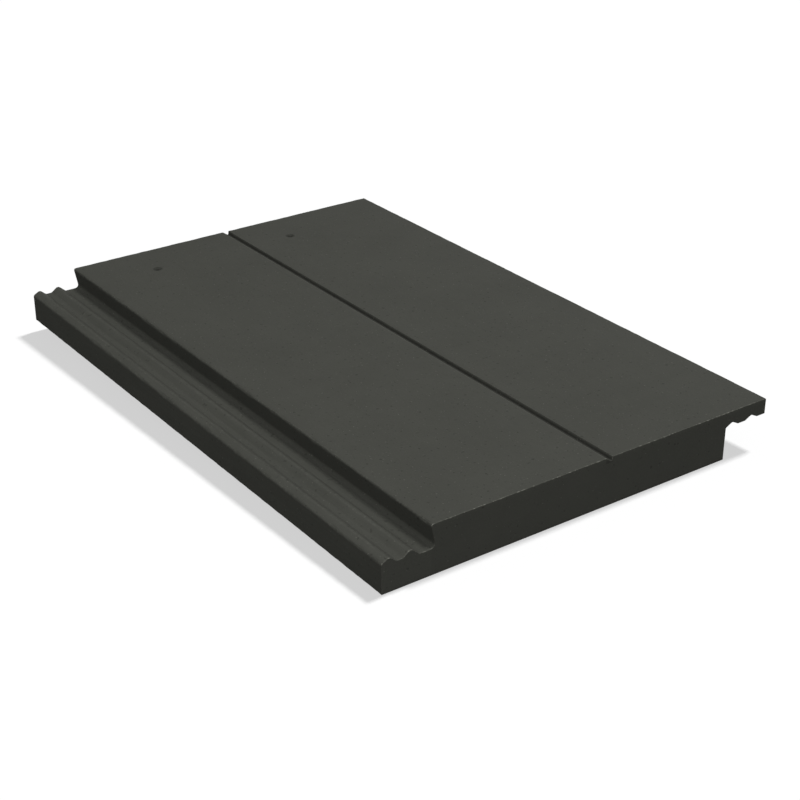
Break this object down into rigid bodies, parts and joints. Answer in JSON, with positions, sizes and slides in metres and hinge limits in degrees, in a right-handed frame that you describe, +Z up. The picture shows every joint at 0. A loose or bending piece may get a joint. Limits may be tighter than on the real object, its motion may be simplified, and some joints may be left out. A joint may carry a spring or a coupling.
{
  "type": "flat interlocking roof tile",
  "caption": "Flat concrete roof tile in dark grey with a mock joint down its face, a ribbed side lock, an overlapping lip, nail holes and hanging nibs.",
  "frame": {"origin": "on the floor, under the middle of the tile as it lies on its tail edge and its nibs", "axes": "+X across the tile from the side lock to the lip, +Y from the tail to the head, +Z up; the weather face leans 1.15 degrees towards the tail"},
  "size_m": [0.2772, 0.4206, 0.0394],
  "materials": {
    "concrete": "smooth dark grey coated concrete, semi-matt"
  },
  "bodies": {
    "root": {"roof_tile": "concrete"}
  },
  "joints": []
}
